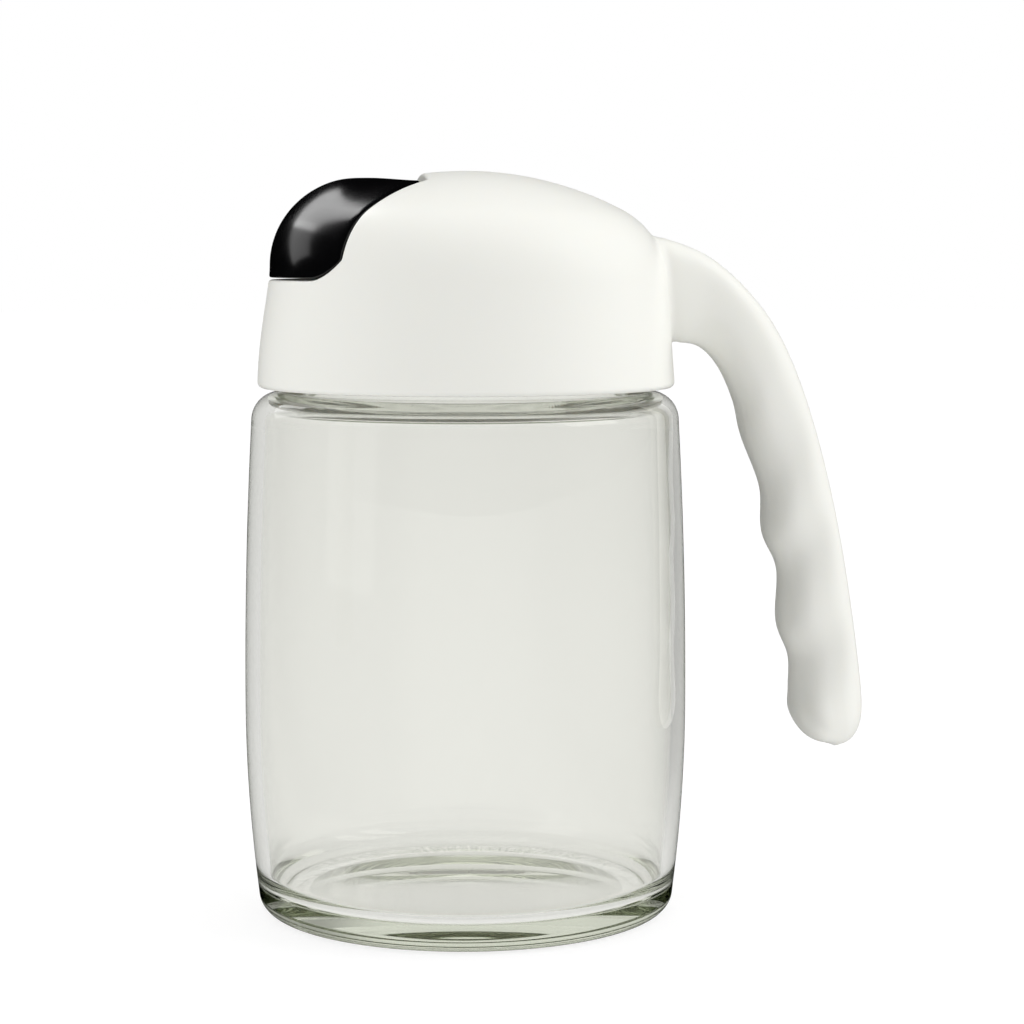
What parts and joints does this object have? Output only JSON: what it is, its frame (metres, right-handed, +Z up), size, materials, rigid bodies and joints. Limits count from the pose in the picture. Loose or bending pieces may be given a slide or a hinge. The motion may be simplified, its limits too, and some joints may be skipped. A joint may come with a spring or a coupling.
{
  "type": "oil dispenser bottle",
  "caption": "Clear glass oil dispenser bottle with a white domed cap, a black flap over the pouring lip and a handle that runs down the back.",
  "frame": {"origin": "middle of the jar's flat base, on the surface it stands on", "axes": "+Z up the jar's axis, -X towards the pouring side, +X towards the handle, +Y across"},
  "size_m": [0.1336, 0.0944, 0.1579],
  "materials": {
    "clear_glass": "clear soda-lime glass with a faint grey-green tint, polished, thick at the base",
    "white_plastic": "warm white moulded polypropylene, satin gloss",
    "black_plastic": "black moulded plastic, glossy"
  },
  "bodies": {
    "bottle": {"glass_jar": "clear_glass", "cap": "white_plastic"},
    "flap": {"flap": "black_plastic"}
  },
  "joints": [
    {"name": "flap_hinge", "type": "hinge", "parent": "bottle", "child": "flap", "pos_m": [-0.0138, 0, 0.15285], "axis": [0, 1, 0], "range_deg": [0, 60]}
  ]
}
